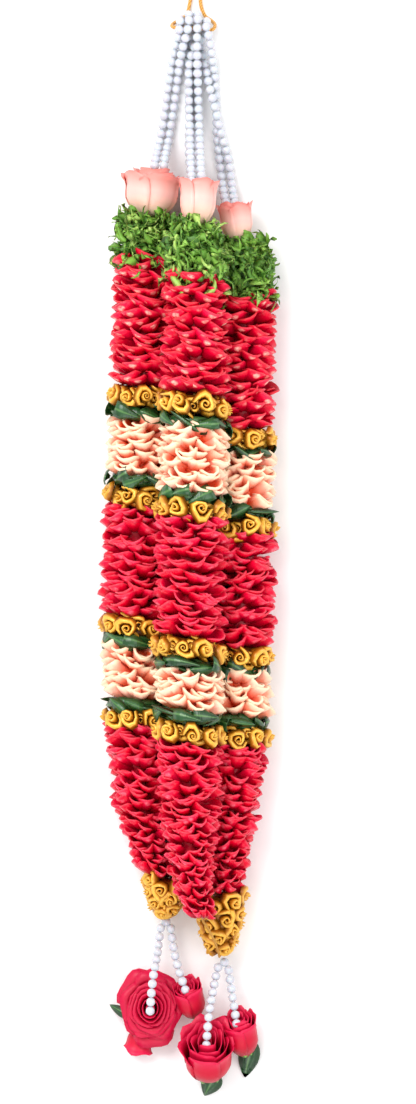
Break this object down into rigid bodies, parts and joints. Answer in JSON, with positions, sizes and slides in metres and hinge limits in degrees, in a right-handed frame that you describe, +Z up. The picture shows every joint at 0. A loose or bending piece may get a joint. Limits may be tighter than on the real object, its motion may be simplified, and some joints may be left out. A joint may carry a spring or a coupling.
{
  "type": "rose wedding garland",
  "caption": "Wedding garlands of folded red and peach petals with gold ribbon bands, laid down with their pearl bead necks on a cord loop and red roses on bead strings.",
  "frame": {"origin": "on the table, under the middle of the garlands' box without the hanging cord", "axes": "+Y along the garlands towards the bead crown, +X to the right seen from above, +Z up from the table"},
  "size_m": [0.1742, 1.126, 0.1201],
  "materials": {
    "red_petal": "satin rose petal",
    "rose_petal": "velvety rose petal",
    "peach_petal": "satin rose petal",
    "pink_petal": "soft rose petal",
    "gold_ribbon": "satin ribbon",
    "leaf": "waxy leaf",
    "pearl": "pearl lustre",
    "thread": "cotton thread",
    "yellow_cord": "twisted cord"
  },
  "bodies": {
    "root": {"left_greenery": "leaf", "left_red_petals_1": "red_petal", "left_red_petals_2": "red_petal", "left_red_petals_3": "red_petal", "left_peach_petals_1": "peach_petal", "left_peach_petals_2": "peach_petal", "left_band_1": "gold_ribbon", "left_band_2": "gold_ribbon", "left_band_3": "gold_ribbon", "left_band_4": "gold_ribbon", "left_rose": "pink_petal", "back_greenery": "leaf", "back_red_petals_1": "red_petal", "back_red_petals_2": "red_petal", "back_red_petals_3": "red_petal", "back_peach_petals_1": "peach_petal", "back_peach_petals_2": "peach_petal", "back_band_1": "gold_ribbon", "back_band_2": "gold_ribbon", "back_band_3": "gold_ribbon", "back_band_4": "gold_ribbon", "back_rose": "pink_petal", "front_greenery": "leaf", "front_red_petals_1": "red_petal", "front_red_petals_2": "red_petal", "front_red_petals_3": "red_petal", "front_peach_petals_1": "peach_petal", "front_peach_petals_2": "peach_petal", "front_band_1": "gold_ribbon", "front_band_2": "gold_ribbon", "front_band_3": "gold_ribbon", "front_band_4": "gold_ribbon", "front_rose": "pink_petal", "right_greenery": "leaf", "right_red_petals_1": "red_petal", "right_red_petals_2": "red_petal", "right_red_petals_3": "red_petal", "right_peach_petals_1": "peach_petal", "right_peach_petals_2": "peach_petal", "right_band_1": "gold_ribbon", "right_band_2": "gold_ribbon", "right_band_3": "gold_ribbon", "right_band_4": "gold_ribbon", "right_rose": "pink_petal", "neck_string_1": "pearl", "neck_string_2": "pearl", "neck_string_3": "pearl", "neck_string_4": "pearl", "hanging_cord": "yellow_cord", "core_thread_1": "thread", "core_thread_2": "thread", "left_pendant": "gold_ribbon", "right_pendant": "gold_ribbon", "pendant_string_1": "pearl", "pendant_string_2": "pearl", "red_rose_1": "rose_petal", "red_rose_2": "rose_petal", "red_rose_3": "rose_petal", "red_rose_4": "rose_petal"}
  },
  "joints": []
}
